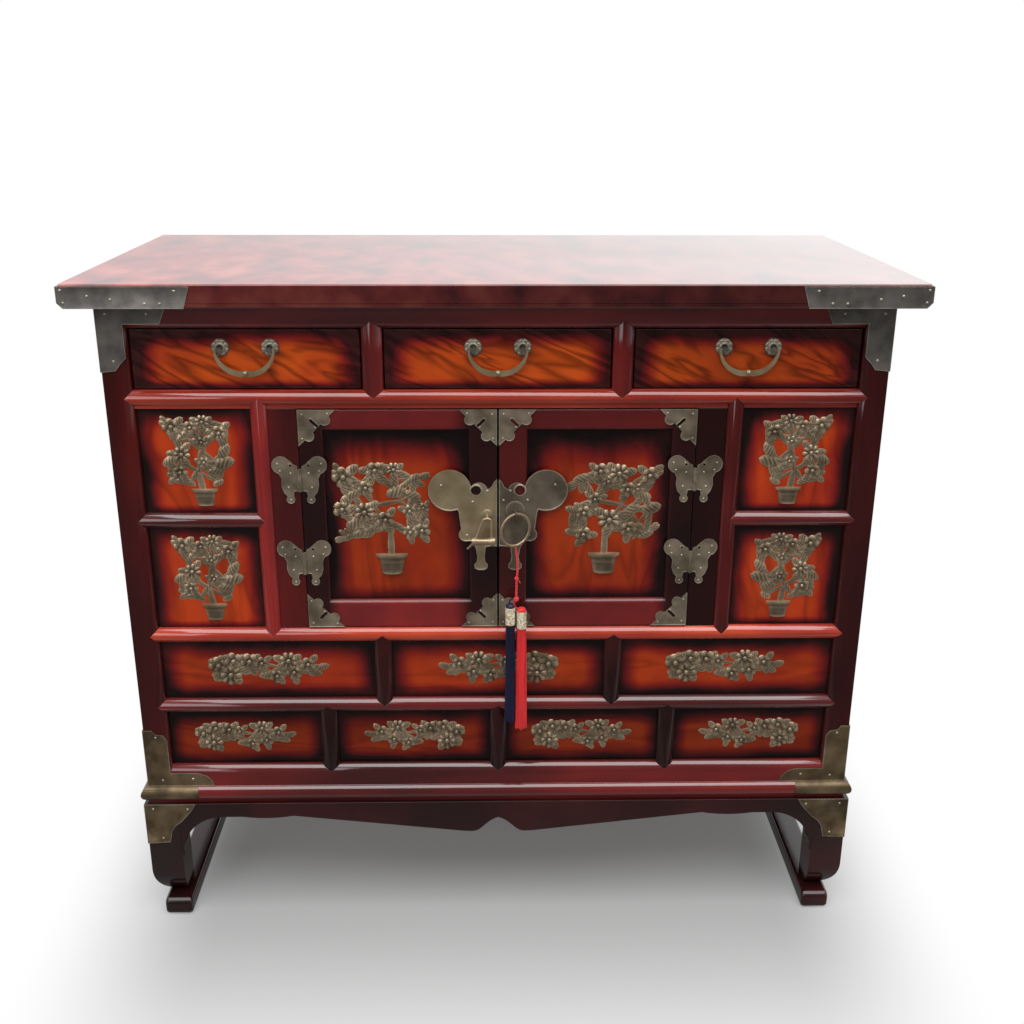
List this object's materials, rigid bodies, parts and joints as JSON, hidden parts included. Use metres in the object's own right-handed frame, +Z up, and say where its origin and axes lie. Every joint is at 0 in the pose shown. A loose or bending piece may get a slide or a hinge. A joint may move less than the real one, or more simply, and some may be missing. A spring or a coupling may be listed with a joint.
{
  "type": "wedding cabinet",
  "caption": "Low lacquered East Asian wedding cabinet on a legged stand: drawers over panelled doors, butterfly brass hinges and lock plate, ring with tassels and spool padlock.",
  "frame": {"origin": "on the floor, under the middle of the top", "axes": "+X to the viewer's right along the width, +Y to the back, +Z up"},
  "size_m": [1.05, 0.498, 0.911],
  "materials": {
    "lacquer_top": "high gloss lacquer over figured wood",
    "lacquer_frame": "high gloss dark red lacquer",
    "lacquer_dark": "high gloss black-red lacquer",
    "lacquer_side": "high gloss dark red lacquer",
    "lacquer_panel": "high gloss orange-red lacquer shaded to black at the edges",
    "bare_wood": "bare, sanded",
    "antique_brass": "aged, dull, engraved",
    "bright_brass": "aged, rubbed bright",
    "red_silk": "silky thread",
    "blue_silk": "silky thread"
  },
  "bodies": {
    "case": {"top_panel": "lacquer_top", "top_corner_plates": "antique_brass", "front_posts": "lacquer_frame", "rear_posts": "lacquer_frame", "front_top_rail": "lacquer_frame", "drawer_rail": "lacquer_frame", "sill_rail": "lacquer_frame", "row_rail": "lacquer_frame", "bottom_rail": "lacquer_frame", "drawer_dividers": "lacquer_frame", "bay_dividers": "lacquer_frame", "bay_rails": "lacquer_frame", "hinge_stiles": "lacquer_dark", "row_dividers": "lacquer_dark", "bay_panels": "lacquer_panel", "row_panels": "lacquer_panel", "case_ornaments": "antique_brass", "side_panels": "lacquer_side", "side_rails": "lacquer_frame", "back_panel": "bare_wood", "floor_board": "bare_wood", "dust_board": "bare_wood", "base_moulding": "lacquer_frame", "front_apron": "lacquer_dark", "stand_rails": "lacquer_dark", "legs": "lacquer_dark", "floor_runners": "lacquer_dark", "head_brackets": "antique_brass", "foot_brackets": "antique_brass", "leg_plates": "antique_brass", "fixed_hinge_leaves": "antique_brass"},
    "door_left": {"door_left_frame": "lacquer_frame", "door_left_panel": "lacquer_panel", "door_left_ornament": "antique_brass", "door_left_brackets": "antique_brass", "door_left_lock_plate": "antique_brass", "door_left_hinge_leaves": "antique_brass"},
    "door_right": {"door_right_frame": "lacquer_frame", "door_right_panel": "lacquer_panel", "door_right_ornament": "antique_brass", "door_right_brackets": "antique_brass", "door_right_lock_plate": "antique_brass", "door_right_hinge_leaves": "antique_brass"},
    "drawer_left": {"drawer_left_front": "lacquer_panel", "drawer_left_box": "bare_wood", "drawer_left_roses": "antique_brass"},
    "bail_left": {"drawer_left_bail": "antique_brass"},
    "drawer_middle": {"drawer_middle_front": "lacquer_panel", "drawer_middle_box": "bare_wood", "drawer_middle_roses": "antique_brass"},
    "bail_middle": {"drawer_middle_bail": "antique_brass"},
    "drawer_right": {"drawer_right_front": "lacquer_panel", "drawer_right_box": "bare_wood", "drawer_right_roses": "antique_brass"},
    "bail_right": {"drawer_right_bail": "antique_brass"},
    "ring": {"ring_pull": "bright_brass"},
    "tassels": {"tassel_cord": "red_silk", "tassel_red": "red_silk", "tassel_blue": "blue_silk"},
    "padlock": {"padlock": "bright_brass"}
  },
  "joints": [
    {"name": "drawer_left_slide", "type": "slide", "parent": "case", "child": "drawer_left", "axis": [0, -1, 0], "range_m": [0, 0.26]},
    {"name": "bail_left_lift", "type": "hinge", "parent": "drawer_left", "child": "bail_left", "pos_m": [-0.313, -0.2195, 0.826], "axis": [-1, 0, 0], "range_deg": [0, 95]},
    {"name": "drawer_middle_slide", "type": "slide", "parent": "case", "child": "drawer_middle", "axis": [0, -1, 0], "range_m": [0, 0.26]},
    {"name": "bail_middle_lift", "type": "hinge", "parent": "drawer_middle", "child": "bail_middle", "pos_m": [0, -0.2195, 0.826], "axis": [-1, 0, 0], "range_deg": [0, 95]},
    {"name": "drawer_right_slide", "type": "slide", "parent": "case", "child": "drawer_right", "axis": [0, -1, 0], "range_m": [0, 0.26]},
    {"name": "bail_right_lift", "type": "hinge", "parent": "drawer_right", "child": "bail_right", "pos_m": [0.313, -0.2195, 0.826], "axis": [-1, 0, 0], "range_deg": [0, 95]},
    {"name": "door_left_hinge", "type": "hinge", "parent": "case", "child": "door_left", "pos_m": [-0.2545, -0.216, 0.598], "axis": [0, 0, -1], "range_deg": [0, 110]},
    {"name": "door_right_hinge", "type": "hinge", "parent": "case", "child": "door_right", "pos_m": [0.2545, -0.216, 0.598], "axis": [0, 0, 1], "range_deg": [0, 110]},
    {"name": "ring_lift", "type": "hinge", "parent": "door_right", "child": "ring", "pos_m": [0.0225, -0.2305, 0.6135], "axis": [-0.866, -0.5, 0], "range_deg": [0, 90]},
    {"name": "tassel_swing", "type": "hinge", "parent": "ring", "child": "tassels", "pos_m": [0.0225, -0.2305, 0.5705], "axis": [-0.866, -0.5, 0], "range_deg": [-90, 0]},
    {"name": "padlock_swing", "type": "hinge", "parent": "door_left", "child": "padlock", "pos_m": [-0.014, -0.2305, 0.607], "axis": [-1, 0, 0], "range_deg": [0, 60]}
  ],
  "couplings": [
    {"joint": "tassel_swing", "follows": "ring_lift", "ratio": -1}
  ]
}
